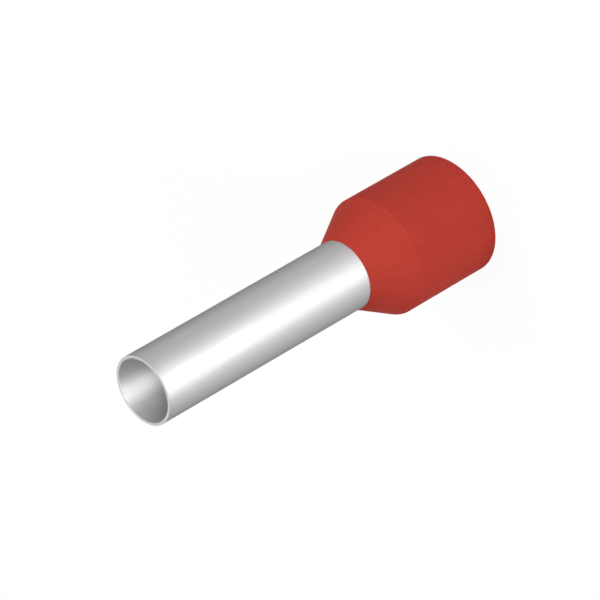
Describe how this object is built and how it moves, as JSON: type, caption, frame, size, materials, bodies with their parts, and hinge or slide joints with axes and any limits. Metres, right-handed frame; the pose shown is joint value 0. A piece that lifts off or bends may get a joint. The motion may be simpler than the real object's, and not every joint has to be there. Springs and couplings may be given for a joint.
{
  "type": "wire ferrule",
  "caption": "Insulated wire ferrule: a thin metal sleeve for the bare strands, flared at its wire end and gripped by a moulded plastic collar that takes the insulation.",
  "frame": {"origin": "centre of the collar's open rim, where the wire goes in and on which the ferrule can stand", "axes": "+Z along the common axis, from the collar's open rim to the sleeve's open tip; the part is round, so X and Y are any two directions across it"},
  "size_m": [0.0084, 0.0084, 0.028],
  "materials": {
    "tin_plated_copper": "satin tin plate on drawn copper tube",
    "moulded_plastic": "plain satin red moulding"
  },
  "bodies": {
    "root": {"sleeve": "tin_plated_copper", "collar": "moulded_plastic"}
  },
  "joints": []
}
